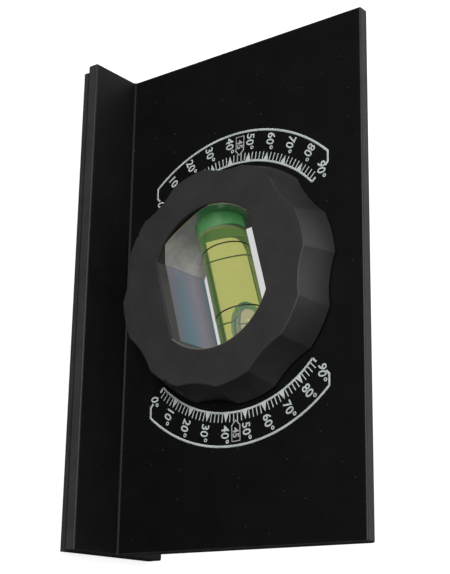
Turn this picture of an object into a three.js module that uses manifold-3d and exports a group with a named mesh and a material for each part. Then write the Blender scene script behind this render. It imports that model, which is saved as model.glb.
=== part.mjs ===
// Angle setter: a magnetic tee-shaped body with a spirit vial in a dial that turns through its plate.
// Millimetres. +X runs along the body, +Z is up from the magnetic base, -Y is the side with the scales.
// The origin is the middle of the base's underside.

import * as THREE from 'three';
import { mergeVertices } from 'three/addons/utils/BufferGeometryUtils.js';
import Module from 'manifold-3d';

const wasm = await Module();
wasm.setup();

// Driving dimensions: body.
const bodyLength = 100;
const bodyHeight = 60.6;
const footDepth = 25.2;
const footFrontLedge = 11.9;
const plateWall = 2.3;
const footWall = 2.45;
const edgeRadius = 0.4;
const rootFillet = 0.6;
const stripWall = 1.15;
const stripSetback = 1.55;
const stripEdgeRadius = 0.2;

// Driving dimensions: dial. Depths run out of the plate, towards the reader.
const dialDrop = 0.9;
const dialTilt = THREE.MathUtils.degToRad(15.2);
const knobRise = 7.6;
const knobFootRoom = 3.9;
const knobTaper = 2;
const knobEdge = 0.4;
const fluteCount = 8;
const fluteDepth = 1.15;
const fluteRadius = 20;
const windowWall = 5.5;
const windowFlatInset = 2.7;
const windowEdge = 0.35;
const indexGroove = 0.45;
const boreCover = 3.3;
const boreClearance = 0.4;
const flangeOverlap = 2.4;
const hubRearRise = 5.1;
const hubChamfer = 0.8;
const springRoom = 0.8;

// Driving dimensions: wave spring behind the plate.
const springWall = 0.25;
const springWave = 0.1;
const springWaves = 3;
const springEdgeGap = 0.4;

// Driving dimensions: screws that hold the two halves of the dial together.
const screwInset = 3.2;
const screwSpread = THREE.MathUtils.degToRad(25);
const screwShankRadius = 1.2;
const screwHeadRadius = 2.2;
const screwHeadRise = 1.5;
const screwSink = 1.9;
const screwReach = 9.6;
const screwSlotWidth = 0.6;
const screwSlotDepth = 0.7;

// Driving dimensions: spirit vial. Its axis is the dial's own X axis.
const vialRadius = 4.75;
const vialEndCover = 1.2;
const vialEndRound = 0.5;
const vialBoreRadius = 3.9;
const vialBoreDraw = 0.2;
const vialEndWall = 2;
const plugLength = 7.8;
const plugChamfer = 0.4;
const bubbleLength = 11.9;
const bubbleRadius = 2.9;
const bubbleLift = 0.6;

// Clearance between neighbouring pieces, and how far a cutter runs past what it cuts.
const seatGap = 0.3;
const overrun = 1;

// Sizes and places that follow from the driving dimensions. The dial fits the plate: it stands a little under
// the middle of it, clears the foot, and each inner part of it fits inside the one round it.
const plateFront = footFrontLedge - footDepth / 2;
const plateRear = plateFront + plateWall;
const footTop = stripWall + footWall;
const dialHeight = (bodyHeight + footTop) / 2 - dialDrop;
const knobFootRadius = dialHeight - footTop - knobFootRoom;
const knobFaceRadius = knobFootRadius - knobTaper;
const boreRadius = knobFootRadius - boreCover;
const hubRadius = boreRadius - boreClearance;
const hubFlangeRadius = boreRadius + flangeOverlap;
const windowRadius = hubRadius - windowWall;
const windowHalfWidth = windowRadius - windowFlatInset;
const screwCircle = hubRadius - screwInset;
const vialLength = 2 * (hubRadius - vialEndCover - seatGap);
const hubRear = -(plateWall + hubRearRise);
const hubFlangeFront = -(plateWall + springRoom);
const vialDepth = (knobRise + hubRear) / 2;
const pocketRadius = vialRadius + seatGap;
const pocketLength = vialLength + 2 * seatGap;
const chamberStart = plugLength - vialLength / 2;
const chamberEnd = vialLength / 2 - vialEndWall;
const bubbleRest = chamberEnd - seatGap - bubbleLength / 2;

// How finely round forms are divided.
const dialFacets = 96;
const springFacets = 48;
const vialFacets = 40;
const smallFacets = 20;
const cornerFacets = 4;
const arcFacets = 22;
const lobeFacets = 4;
const fluteFacets = 6;
const boreSteps = 10;
const capFacets = 6;

const matteBlack = { color: 0x1c1c1d, roughness: 0.62, metalness: 0 };
const anodised = { color: 0x141416, roughness: 0.48, metalness: 0.35 };
const magnetic = { color: 0x33332f, roughness: 0.85, metalness: 0 };
const blackSteel = { color: 0x2a2a2c, roughness: 0.4, metalness: 0.9 };
const springSteel = { color: 0x8b8d8f, roughness: 0.35, metalness: 1 };
const clearPlastic = { color: 0xe4f0e6, roughness: 0.08, metalness: 0, transparent: true, opacity: 0.35 };
const plugPlastic = { color: 0x23382a, roughness: 0.45, metalness: 0 };
const vialFluid = { color: 0xc8d65a, roughness: 0.1, metalness: 0, transparent: true, opacity: 0.6 };
const bubbleAir = { color: 0xf1ecd8, roughness: 0.1, metalness: 0, transparent: true, opacity: 0.5 };

// Solids: from a closed geometry to a body that can be cut, and back.

function solid(geometry) {
  const bare = geometry.clone();
  bare.deleteAttribute('normal');
  bare.deleteAttribute('uv');
  const merged = mergeVertices(bare);
  return new wasm.Manifold(new wasm.Mesh({
    numProp: 3,
    vertProperties: new Float32Array(merged.attributes.position.array),
    triVerts: new Uint32Array(merged.index.array),
  }));
}

function geometryOf(body) {
  const mesh = body.getMesh();
  const geometry = new THREE.BufferGeometry();
  geometry.setAttribute('position', new THREE.BufferAttribute(new Float32Array(mesh.vertProperties), 3));
  geometry.setIndex(new THREE.BufferAttribute(new Uint32Array(mesh.triVerts), 1));
  geometry.computeVertexNormals();
  return geometry;
}

function cutAway(geometry, cutters) {
  let body = solid(geometry);
  for (const cutter of cutters) {
    body = body.subtract(solid(cutter));
  }
  return geometryOf(body);
}

function piece(name, geometry, finish) {
  const mesh = new THREE.Mesh(geometry, new THREE.MeshStandardMaterial(finish));
  mesh.name = name;
  return mesh;
}

// Outlines.

// A closed outline through [x, y, corner radius] points, each corner rounded by a curve.
function roundedOutline(corners) {
  const shape = new THREE.Shape();
  corners.forEach(([x, y, radius], i) => {
    const corner = new THREE.Vector2(x, y);
    const before = new THREE.Vector2(...corners.at(i - 1));
    const after = new THREE.Vector2(...corners[(i + 1) % corners.length]);
    const entry = before.sub(corner).setLength(radius).add(corner);
    const exit = after.sub(corner).setLength(radius).add(corner);
    if (i === 0) {
      shape.moveTo(entry.x, entry.y);
    } else {
      shape.lineTo(entry.x, entry.y);
    }
    if (radius > 0) {
      shape.quadraticCurveTo(x, y, exit.x, exit.y);
    }
  });
  shape.closePath();
  return shape;
}

// A profile in the YZ plane drawn out along X, from one end to the other.
function extrudeAlongX(shape, from, to) {
  const geometry = new THREE.ExtrudeGeometry(shape, {
    depth: to - from, bevelEnabled: false, curveSegments: cornerFacets,
  });
  const along = new THREE.Vector3(1, 0, 0);
  const across = new THREE.Vector3(0, 1, 0);
  const up = new THREE.Vector3(0, 0, 1);
  geometry.applyMatrix4(new THREE.Matrix4().makeBasis(across, up, along));
  return geometry.translate(from, 0, 0);
}

function polar(radius, angle) {
  return new THREE.Vector2(radius * Math.cos(angle), radius * Math.sin(angle));
}

// The knob's outline at its foot: round lobes with shallow hollow flutes between them.
// A lobe's middle lies on the vial's axis, so the 45 degree index marks also fall on lobes.
function knobOutline() {
  const reach = knobFootRadius - fluteDepth + fluteRadius;
  const spread = (knobFootRadius ** 2 + reach ** 2 - fluteRadius ** 2) / (2 * knobFootRadius * reach);
  const halfFlute = Math.acos(spread);
  const pitch = 2 * Math.PI / fluteCount;
  const points = [];
  for (let k = 0; k < fluteCount; k += 1) {
    const middle = (k + 0.5) * pitch;
    for (let i = 0; i < fluteFacets; i += 1) {
      const off = halfFlute * (2 * i / fluteFacets - 1);
      const radius = reach * Math.cos(off) - Math.sqrt(fluteRadius ** 2 - (reach * Math.sin(off)) ** 2);
      points.push(polar(radius, middle + off));
    }
    for (let i = 0; i < lobeFacets; i += 1) {
      const off = halfFlute + (pitch - 2 * halfFlute) * i / lobeFacets;
      points.push(polar(knobFootRadius, middle + off));
    }
  }
  return points;
}

// The window's outline: a circle cut by two flats along the vial.
function windowOutline() {
  const halfArc = Math.asin(windowHalfWidth / windowRadius);
  const points = [];
  for (const middle of [0, Math.PI]) {
    for (let i = 0; i <= arcFacets; i += 1) {
      points.push(polar(windowRadius, middle + halfArc * (2 * i / arcFacets - 1)));
    }
  }
  return points;
}

// Dial pieces: drawn with depth along Z.

// An extrusion whose layers each get a depth, and a scale for the rim and for the window.
function layered(shape, layers) {
  const steps = layers.length - 1;
  const geometry = new THREE.ExtrudeGeometry(shape, { depth: steps, steps, bevelEnabled: false });
  const place = geometry.attributes.position;
  const between = (windowRadius + knobFaceRadius) / 2;
  for (let i = 0; i < place.count; i += 1) {
    const layer = layers[Math.round(place.getZ(i))];
    const onRim = Math.hypot(place.getX(i), place.getY(i)) > between;
    const scale = onRim ? layer.rim : layer.window;
    place.setXYZ(i, place.getX(i) * scale, place.getY(i) * scale, layer.depth);
  }
  return geometry;
}

function cylinderAlongZ(radius, from, to, facets) {
  const geometry = new THREE.CylinderGeometry(radius, radius, to - from, facets);
  return geometry.rotateX(Math.PI / 2).translate(0, 0, (from + to) / 2);
}

function latheAlongX(profile, facets) {
  const points = profile.map(([radius, along]) => new THREE.Vector2(radius, along));
  return new THREE.LatheGeometry(points, facets).rotateZ(-Math.PI / 2);
}

function vialPocket() {
  const pocket = new THREE.CylinderGeometry(pocketRadius, pocketRadius, pocketLength, vialFacets);
  return pocket.rotateZ(-Math.PI / 2).translate(0, 0, vialDepth);
}

// The four screws stand in pairs beside the window's flats.
function screwPlaces() {
  const places = [];
  for (const side of [Math.PI / 2, -Math.PI / 2]) {
    for (const turn of [-screwSpread, screwSpread]) {
      places.push(polar(screwCircle, side + turn));
    }
  }
  return places;
}

function screwHoles(radius, from, to) {
  return screwPlaces().map(({ x, y }) => cylinderAlongZ(radius, from, to, smallFacets).translate(x, y, 0));
}

// Fine grooves down two lobes' walls, at 45 degrees to the vial, that are read against the two scales.
// They lie on the side of the foot, and each points at zero when the vial is parallel to the base.
function indexGrooves() {
  const rise = knobRise - seatGap;
  const draft = Math.atan2(knobFootRadius - knobFaceRadius, rise);
  const grooves = [];
  for (const eighth of [5, 7]) {
    const groove = new THREE.CylinderGeometry(indexGroove, indexGroove, 2 * rise, 4);
    groove.rotateX(Math.PI / 2).rotateY(-draft);
    groove.translate((knobFootRadius + knobFaceRadius) / 2, 0, seatGap + rise / 2);
    grooves.push(groove.rotateZ(eighth * Math.PI / 4));
  }
  return grooves;
}

function dialKnob() {
  const shape = new THREE.Shape(knobOutline());
  shape.holes.push(new THREE.Path(windowOutline()));
  const draftRate = (knobFootRadius - knobFaceRadius) / (knobRise - seatGap);
  const edgeStart = knobFaceRadius + knobEdge * draftRate;
  const geometry = layered(shape, [
    { depth: seatGap, rim: 1, window: 1 },
    { depth: knobRise - knobEdge, rim: edgeStart / knobFootRadius, window: 1 },
    { depth: knobRise, rim: (knobFaceRadius - knobEdge) / knobFootRadius, window: 1 + windowEdge / windowRadius },
  ]);
  const screwEnd = hubRear + screwSink + screwReach;
  const pilots = screwHoles(screwShankRadius + seatGap, seatGap - overrun, screwEnd);
  return cutAway(geometry, [vialPocket(), ...pilots, ...indexGrooves()]);
}

function dialHub() {
  const profile = [
    [0, hubRear],
    [hubFlangeRadius - hubChamfer, hubRear],
    [hubFlangeRadius, hubRear + hubChamfer],
    [hubFlangeRadius, hubFlangeFront],
    [hubRadius, hubFlangeFront],
    [hubRadius, 0],
    [0, 0],
  ].map(([radius, depth]) => new THREE.Vector2(radius, depth));
  const geometry = new THREE.LatheGeometry(profile, dialFacets).rotateX(Math.PI / 2);
  const flare = windowEdge + overrun;
  const opening = layered(new THREE.Shape(windowOutline()), [
    { depth: hubRear - overrun, window: 1 + flare / windowRadius },
    { depth: hubRear + windowEdge, window: 1 },
    { depth: overrun, window: 1 },
  ]);
  const through = screwHoles(screwShankRadius + seatGap, hubRear - overrun, overrun);
  const sinks = screwHoles(screwHeadRadius + seatGap, hubRear - overrun, hubRear + screwSink);
  return cutAway(geometry, [opening, vialPocket(), ...through, ...sinks]);
}

// A flat ring bent into waves, which presses the dial against the plate.
function springWasher() {
  const shape = new THREE.Shape().absarc(0, 0, hubFlangeRadius - springEdgeGap, 0, 2 * Math.PI);
  shape.holes.push(new THREE.Path().absarc(0, 0, boreRadius, 0, 2 * Math.PI));
  const geometry = new THREE.ExtrudeGeometry(shape, {
    depth: springWall, bevelEnabled: false, curveSegments: springFacets,
  });
  const place = geometry.attributes.position;
  for (let i = 0; i < place.count; i += 1) {
    const angle = Math.atan2(place.getY(i), place.getX(i));
    place.setZ(i, place.getZ(i) + springWave * Math.cos(springWaves * angle));
  }
  return geometry.translate(0, 0, -(plateWall + (springRoom + springWall) / 2));
}

function hubScrew() {
  const seat = hubRear + screwSink - seatGap;
  const top = seat + screwReach;
  const profile = [
    [0, seat - screwHeadRise],
    [screwHeadRadius, seat - screwHeadRise],
    [screwHeadRadius, seat],
    [screwShankRadius, seat],
    [screwShankRadius, top - screwShankRadius],
    [0, top],
  ].map(([radius, depth]) => new THREE.Vector2(radius, depth));
  const geometry = new THREE.LatheGeometry(profile, smallFacets).rotateX(Math.PI / 2);
  const slot = new THREE.BoxGeometry(2 * screwHeadRadius + overrun, screwSlotWidth, 2 * screwSlotDepth);
  return cutAway(geometry, [slot.translate(0, 0, seat - screwHeadRise)]);
}

// Vial pieces: drawn along X, with the bubble's side towards +Y.

// The bore is widest at the dial's axis, so a level bubble comes to rest there.
function boreAt(along) {
  const share = along / chamberEnd;
  return vialBoreRadius - vialBoreDraw * Math.min(share ** 2, 1);
}

// Radius and place pairs down the bore, held back from its wall by a clearance.
function boreProfile(from, to, clearance) {
  const pairs = [];
  for (let i = 0; i <= boreSteps; i += 1) {
    const along = from + (to - from) * i / boreSteps;
    pairs.push([boreAt(along) - clearance, along]);
  }
  return pairs;
}

function vialTube() {
  const end = vialLength / 2;
  return latheAlongX([
    [0, chamberEnd],
    ...boreProfile(chamberEnd, -end, 0),
    [vialRadius - vialEndRound, -end],
    [vialRadius, vialEndRound - end],
    [vialRadius, end - vialEndRound],
    [vialRadius - vialEndRound, end],
    [0, end],
  ], vialFacets);
}

function vialPlug() {
  const end = -vialLength / 2;
  const radius = boreAt(end) - seatGap;
  return latheAlongX([
    [0, end],
    [radius, end],
    [radius, chamberStart - plugChamfer],
    [radius - plugChamfer, chamberStart],
    [0, chamberStart],
  ], vialFacets);
}

// The fluid leaves a trough along its upper side, as long as the bubble's way.
function vialFluidBody() {
  const from = chamberStart + seatGap;
  const to = chamberEnd - seatGap;
  const geometry = latheAlongX([[0, from], ...boreProfile(from, to, seatGap), [0, to]], vialFacets);
  const troughRadius = bubbleRadius + seatGap;
  const trough = new THREE.Shape();
  trough.absarc(bubbleLift, 0, troughRadius, Math.PI / 2, 3 * Math.PI / 2);
  trough.lineTo(vialRadius, -troughRadius);
  trough.lineTo(vialRadius, troughRadius);
  const cutter = new THREE.ExtrudeGeometry(trough, {
    depth: to - from + 2 * overrun, bevelEnabled: false, curveSegments: smallFacets,
  });
  const along = new THREE.Vector3(1, 0, 0);
  const rising = new THREE.Vector3(0, 1, 0);
  const outward = new THREE.Vector3(0, 0, 1);
  cutter.applyMatrix4(new THREE.Matrix4().makeBasis(rising, outward, along));
  return cutAway(geometry, [cutter.translate(from - overrun, 0, 0)]);
}

function vialBubble() {
  const capsule = new THREE.CapsuleGeometry(
    bubbleRadius, bubbleLength - 2 * bubbleRadius, capFacets, smallFacets,
  );
  return capsule.rotateZ(-Math.PI / 2).translate(bubbleRest, bubbleLift, 0);
}

// Body pieces: drawn in place.

function teeBody() {
  const front = -footDepth / 2;
  const rear = footDepth / 2;
  const section = roundedOutline([
    [front, stripWall, edgeRadius],
    [rear, stripWall, edgeRadius],
    [rear, footTop, edgeRadius],
    [plateRear, footTop, rootFillet],
    [plateRear, bodyHeight, edgeRadius],
    [plateFront, bodyHeight, edgeRadius],
    [plateFront, footTop, rootFillet],
    [front, footTop, edgeRadius],
  ]);
  const bore = new THREE.CylinderGeometry(boreRadius, boreRadius, plateWall + 2 * overrun, dialFacets);
  bore.translate(0, (plateFront + plateRear) / 2, dialHeight);
  return cutAway(extrudeAlongX(section, -bodyLength / 2, bodyLength / 2), [bore]);
}

function magnetStrip() {
  const section = roundedOutline([
    [-footDepth / 2, 0, stripEdgeRadius],
    [footDepth / 2, 0, stripEdgeRadius],
    [footDepth / 2, stripWall, 0],
    [-footDepth / 2, stripWall, 0],
  ]);
  return extrudeAlongX(section, stripSetback - bodyLength / 2, bodyLength / 2);
}

// Assembly. The dial's frame has its depth along -Y, out of the plate, and is turned with the dial.

const setter = new THREE.Group();
setter.add(piece('body', teeBody(), anodised));
setter.add(piece('magnet_strip', magnetStrip(), magnetic));

const dialSeat = new THREE.Group();
dialSeat.position.set(0, plateFront, dialHeight);
dialSeat.rotation.x = Math.PI / 2;
setter.add(dialSeat);
dialSeat.add(piece('spring_washer', springWasher(), springSteel));

const dial = new THREE.Group();
dial.rotation.z = dialTilt;
dialSeat.add(dial);
dial.add(piece('dial_knob', dialKnob(), matteBlack));
dial.add(piece('dial_hub', dialHub(), matteBlack));

screwPlaces().forEach(({ x, y }, i) => {
  const screw = piece(`hub_screw_${i + 1}`, hubScrew(), blackSteel);
  screw.position.set(x, y, 0);
  dial.add(screw);
});

const vial = new THREE.Group();
vial.position.z = vialDepth;
dial.add(vial);
vial.add(piece('vial_tube', vialTube(), clearPlastic));
vial.add(piece('vial_plug', vialPlug(), plugPlastic));
vial.add(piece('vial_fluid', vialFluidBody(), vialFluid));
vial.add(piece('vial_bubble', vialBubble(), bubbleAir));

export default setter;
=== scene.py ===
import math

import bmesh
import bpy
from mathutils import Matrix, Vector


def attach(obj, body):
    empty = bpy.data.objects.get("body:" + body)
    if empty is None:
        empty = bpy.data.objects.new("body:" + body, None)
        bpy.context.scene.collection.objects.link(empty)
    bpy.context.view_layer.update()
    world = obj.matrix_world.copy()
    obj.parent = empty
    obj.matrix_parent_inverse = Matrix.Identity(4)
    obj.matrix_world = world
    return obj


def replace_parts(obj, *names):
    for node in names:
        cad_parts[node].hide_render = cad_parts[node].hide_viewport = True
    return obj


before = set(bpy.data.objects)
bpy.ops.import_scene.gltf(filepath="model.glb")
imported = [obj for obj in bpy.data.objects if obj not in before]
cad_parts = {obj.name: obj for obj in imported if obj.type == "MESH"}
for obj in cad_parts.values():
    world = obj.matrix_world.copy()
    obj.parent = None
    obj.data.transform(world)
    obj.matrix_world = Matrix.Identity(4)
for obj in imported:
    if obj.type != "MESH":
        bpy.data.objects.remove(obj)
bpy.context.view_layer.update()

# The frame is the solid parts' own: metres, +X along the body, +Z up, -Y towards the reader.

mm = 0.001
BODY_LENGTH = 100 * mm
BODY_HEIGHT = 60.6 * mm
FOOT_DEPTH = 25.2 * mm
FOOT_BOTTOM = 1.15 * mm
FOOT_TOP = 3.6 * mm
PLATE_FRONT = -0.7 * mm
PLATE_REAR = 1.6 * mm
BODY_EDGE = 0.35 * mm
ROOT_FILLET = 0.6 * mm
BORE_RADIUS = 20.4 * mm

DIAL_HEIGHT = 31.2 * mm
DIAL_TILT = math.radians(15.2)
KNOB_FOOT = 0.3 * mm
KNOB_FACE = 7.6 * mm
KNOB_FOOT_RADIUS = 23.7 * mm
KNOB_FACE_RADIUS = 21.7 * mm
FLUTES = 8
FLUTE_DEPTH = 1.15 * mm
FLUTE_RADIUS = 20 * mm
WINDOW_RADIUS = 14.0 * mm
WINDOW_HALF_WIDTH = 11.4 * mm
MOULDED_EDGE = 0.32 * mm
HUB_RADIUS = 20 * mm
FLANGE_RADIUS = 22.8 * mm
FLANGE_FRONT = -3.1 * mm
HUB_REAR = -7.4 * mm
INDEX_TURNS = (math.radians(222.9), math.radians(317.1))
INDEX_WIDTH = 0.7 * mm
INDEX_LENGTH = 20 * mm

VIAL_DEPTH = 0.1 * mm
VIAL_RADIUS = 4.75 * mm
VIAL_HALF_LENGTH = 18.5 * mm
VIAL_CHAMFER = 0.5 * mm
VIAL_STEPS = 128
INNER_STEPS = 96
POCKET_ROOM = 0.08 * mm
POCKET_END_ROOM = 0.1 * mm
BORE_MIDDLE = 3.9 * mm
BORE_END = 3.7 * mm
CHAMBER = (-10.7 * mm, 16.5 * mm)
RING_PLACES = (-6.78 * mm, 6.78 * mm)
RING_WIDTH = 0.3 * mm
PLUG_LEAN = 0.1
PLUG_LEAN_DEPTH = 0.5 * mm
LEAN_EDGE = 0.1 * mm
PLUG_GAP = 0.05 * mm
PLUG_RIM_SIZE = 0.35 * mm
BUBBLE = (4.9 * mm, 16.2 * mm)
BUBBLE_RADIUS = 2.65 * mm
BUBBLE_LIFT = 1.1 * mm
PLASTIC_IOR = 1.49
FLUID_IOR = 1.36

SCREW_CIRCLE = 16.8 * mm
SCREW_SPREAD = math.radians(25)
SCREW_SEAT = -5.8 * mm
SCREW_HEAD = 1.5 * mm
SCREW_HEAD_RADIUS = 2.2 * mm
SCREW_RADIUS = 1.2 * mm
SCREW_LENGTH = 9.6 * mm
SLOT_SIZE = (6 * mm, 0.6 * mm, 1.4 * mm)
SINK_RADIUS = 2.5 * mm
SINK_DEPTH = 1.9 * mm

INK = 0.03 * mm
SCALE_LIFT = math.radians(2.1)
SCALE_START = SCALE_LIFT - math.pi / 4
SCALE_END = SCALE_LIFT + math.pi / 4
SCALE_RADIUS = 24.9 * mm
TICK_END = 26.7 * mm
FRAME_RADIUS = 31.2 * mm
FRAME_HALF_TURN = math.radians(42.2)
FRAME_TURN_IN = 2.1 * mm
FRAME_CORNER = 0.64 * mm
LABEL_INNER = 27.25 * mm
LABEL_BOLD = 0.035 * mm
DIGIT_HEIGHT = 1.85 * mm
DIGIT_SHARE_OF_FONT = 0.73
FIRST_LABEL = (20.3 * mm, -19.1 * mm)
LAST_LABEL = (19.4 * mm, 20.35 * mm)
TAG_MIDDLE = 28.4 * mm
TAG_LENGTH = 3.9 * mm
TAG_HEIGHT = 1.9 * mm
TAG_TEXT_SHARE = 0.78
TAG_TEXT_SHIFT = 0.35 * mm

print_place = Matrix.Translation((0, PLATE_FRONT, DIAL_HEIGHT)) @ Matrix.Rotation(math.pi / 2, 4, "X")
dial_place = print_place @ Matrix.Rotation(DIAL_TILT, 4, "Z")
vial_place = dial_place @ Matrix.Translation((0, 0, VIAL_DEPTH))


# Node trees: sums are written with Python's own signs, and each sign makes a Math node.

def math_node(operation, swap=False):
    """A function that joins its terms by one Math node, in swapped order if asked."""
    def joined(*terms):
        tree = next(term.tree for term in terms if isinstance(term, Term))
        node = tree.nodes.new("ShaderNodeMath")
        node.operation = operation
        for socket, term in zip(node.inputs, terms[::-1] if swap else terms):
            feed(socket, term)
        return Term(node.outputs[0])
    return joined


class Term:
    """One output of a node, for use in sums with other terms and with plain numbers."""

    __add__ = __radd__ = math_node("ADD")
    __mul__ = __rmul__ = math_node("MULTIPLY")
    __sub__ = math_node("SUBTRACT")
    __rsub__ = math_node("SUBTRACT", swap=True)
    __truediv__ = math_node("DIVIDE")
    __rtruediv__ = math_node("DIVIDE", swap=True)
    __mod__ = math_node("MODULO")
    __pow__ = math_node("POWER")
    __lt__ = math_node("LESS_THAN")
    __gt__ = math_node("GREATER_THAN")
    __abs__ = math_node("ABSOLUTE")
    at_least = math_node("MAXIMUM")
    at_most = math_node("MINIMUM")
    floor = math_node("FLOOR")
    sign = math_node("SIGN")
    root = math_node("SQRT")
    sine = math_node("SINE")
    cosine = math_node("COSINE")
    arctan2 = math_node("ARCTAN2")

    def __init__(self, socket):
        self.socket = socket
        self.tree = socket.id_data


def feed(socket, value):
    """Joins an output to an input, or sets the input to a plain value."""
    source = value.socket if isinstance(value, Term) else value
    if isinstance(source, bpy.types.NodeSocket):
        socket.id_data.links.new(source, socket)
    else:
        socket.default_value = value


def add(tree, kind, settings=None, **inputs):
    """A new node. The inputs' names have underscores for their spaces."""
    node = tree.nodes.new(kind)
    for key, value in (settings or {}).items():
        setattr(node, key, value)
    for key, value in inputs.items():
        feed(node.inputs[key.replace("_", " ")], value)
    return node


def out(node, name=0):
    return Term(node.outputs[name])


def given_to(tree):
    """What a group is given, as terms by name."""
    return {socket.name: Term(socket) for socket in add(tree, "NodeGroupInput").outputs}


def blank_tree(block):
    """The emptied node tree of a new material or world."""
    block.use_nodes = True
    block.node_tree.nodes.clear()
    return block.node_tree


def between(value, low, high):
    """Runs from low to high while the value runs from zero to one."""
    return out(add(value.tree, "ShaderNodeMapRange", Value=value, To_Min=low, To_Max=high), "Result")


def soft_step(value, start, width):
    """Zero below the start, one past it, with a soft change as wide as given."""
    share = (value - start) / width
    share.socket.node.use_clamp = True
    return share


def ramp(value, low, high, low_colour, high_colour):
    """A colour that runs from one to the other while the value runs from low to high."""
    node = add(value.tree, "ShaderNodeValToRGB", Fac=value)
    for element, place, colour in zip(node.color_ramp.elements, (low, high), (low_colour, high_colour)):
        element.position = place
        element.color = (*colour, 1)
    return out(node, "Color")


def blend(share, first, second):
    """A share of the second colour over the first. The second may be a plain one."""
    node = add(share.tree, "ShaderNodeMix", {"data_type": "RGBA"}, Factor=share)
    feed(node.inputs[6], first)
    feed(node.inputs[7], second if isinstance(second, Term) else (*second, 1))
    return out(node, 2)


def own_place(tree):
    """A point's place in its piece's own frame."""
    return out(add(tree, "ShaderNodeAttribute", {"attribute_name": "own_place"}), "Vector")


# Shader groups: effects that several finishes share.

def shader_group(name, inputs, outputs):
    group = bpy.data.node_groups.new(name, "ShaderNodeTree")
    for label, value in inputs.items():
        socket = group.interface.new_socket(label, in_out="INPUT", socket_type="NodeSocketFloat")
        socket.default_value = value
    for label, kind in outputs.items():
        group.interface.new_socket(label, in_out="OUTPUT", socket_type="NodeSocket" + kind)
    return group, given_to(group), add(group, "NodeGroupOutput").inputs


def noise(tree, place, grains, **settings):
    return out(add(tree, "ShaderNodeTexNoise", Vector=place, Scale=grains, **settings), "Fac")


def make_grain():
    """A fine even grain: Height for a bump, and Tone, which wanders round one half."""
    group, given, result = shader_group(
        "fine_grain", {"Grains per mm": 4.0, "Patch size": 6.0}, {"Height": "Float", "Tone": "Float"}
    )
    place = out(add(group, "ShaderNodeTexCoord"), "Object")
    fine_share = 0.6
    fine = noise(group, place, given["Grains per mm"] * (1 / mm), Detail=3.0, Roughness=0.6)
    patch = noise(group, place, 1 / mm / given["Patch size"], Detail=2.0)
    feed(result["Height"], fine)
    feed(result["Tone"], fine * fine_share + patch * (1 - fine_share))
    return group


def make_specks():
    """Sparse small specks of dust, as a mask."""
    group, given, result = shader_group(
        "dust_specks", {"Specks per mm": 0.7, "Share": 0.06, "Share kept": 0.35}, {"Mask": "Float"}
    )
    place = out(add(group, "ShaderNodeTexCoord"), "Object")
    density = given["Specks per mm"] * (1 / mm)
    cells = add(group, "ShaderNodeTexVoronoi", Vector=place, Scale=density, Randomness=1.0)
    pick = out(add(group, "ShaderNodeSeparateColor", Color=cells.outputs["Color"]), "Red")
    feed(result["Mask"], (out(cells, "Distance") < given["Share"]) * (pick < given["Share kept"]))
    return group


def make_streaks():
    """Broad soft streaks along the vial on the window's flat sides: their colour is painted reflection, and
    their height feeds a bump and the roughness.
    """
    group, given, result = shader_group(
        "streaks_with_painted_reflection", {"Streaks per mm": 0.24}, {"Height": "Float", "Color": "Color"}
    )
    stretch = (0.05, 0.3, 1.0)
    drawn = out(add(group, "ShaderNodeMapping", Vector=own_place(group), Scale=stretch))
    lines = noise(group, drawn, given["Streaks per mm"] * (1 / mm), Detail=2.0)
    feed(result["Height"], lines)
    # The streaks' bluish colour is painted reflection.
    feed(result["Color"], ramp(lines, 0.42, 0.58, (0.26, 0.235, 0.28), (0.17, 0.28, 0.35)))
    return group


GRAIN = make_grain()
SPECKS = make_specks()
# Streaks that carry painted reflection in their colour.
STREAKS_WITH_PAINTED_REFLECTION = make_streaks()


# Finishes.

def placed(tree, group, **values):
    return add(tree, "ShaderNodeGroup", {"node_tree": group}, **values)


def new_finish(name, **values):
    """A material with one surface node, with plain values for some of its inputs."""
    material = bpy.data.materials.new(name)
    tree = blank_tree(material)
    surface = add(tree, "ShaderNodeBsdfPrincipled", **values)
    add(tree, "ShaderNodeOutputMaterial", Surface=surface.outputs["BSDF"])
    return material, tree, surface


def bump(surface, height, strength, depth):
    node = add(surface.id_data, "ShaderNodeBump", Height=height, Strength=strength, Distance=depth)
    feed(surface.inputs["Normal"], node.outputs["Normal"])


def grained(
    name, grains_per_mm, dark, light, rough, tones=(0.35, 0.65), patch_size=6.0,
    bumps=0.0, bump_depth=0.02 * mm, dust=0.0, glow=None, **values,
):
    """A finish whose colour and roughness wander with a grain. It may have bumps, dust and a painted glow."""
    material, tree, surface = new_finish(name, **values)
    grain = placed(tree, GRAIN, Grains_per_mm=grains_per_mm, Patch_size=patch_size)
    tone = out(grain, "Tone")
    colour = ramp(tone, *tones, dark, light)
    if dust:
        colour = blend(out(placed(tree, SPECKS), "Mask") * dust, colour, (0.22, 0.22, 0.21))
    feed(surface.inputs["Base Color"], colour)
    feed(surface.inputs["Roughness"], between(tone, *rough))
    if bumps:
        bump(surface, grain.outputs["Height"], bumps, bump_depth)
    if glow:
        feed(surface.inputs["Emission Color"], glow(tone))
        surface.inputs["Emission Strength"].default_value = 1
    return material


def steel(name, dark, light):
    return grained(name, 3.0, dark, light, (0.28, 0.5), bumps=0.2, bump_depth=0.01 * mm, Metallic=1)


def printed(name, thin, full):
    """Screen ink, a little uneven where it lay thin."""
    return grained(
        name, 5.0, thin, full, (0.5, 0.75), tones=(0.36, 0.52), patch_size=2.5,
        bumps=0.3, bump_depth=0.01 * mm,
    )


def clear(name, grains_per_mm, dark, light, most_rough, ior, **values):
    """A clear finish. Its IOR is the ratio to that of the piece round it."""
    return grained(
        name, grains_per_mm, dark, light, (0.0, most_rough), tones=(0.3, 0.7),
        Transmission_Weight=1, IOR=ior, **values,
    )


def fluid_painted_glow(tone):
    """A painted green glow in the fluid."""
    return ramp(tone, 0.3, 0.7, (0.020, 0.046, 0.020), (0.024, 0.053, 0.024))


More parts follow.
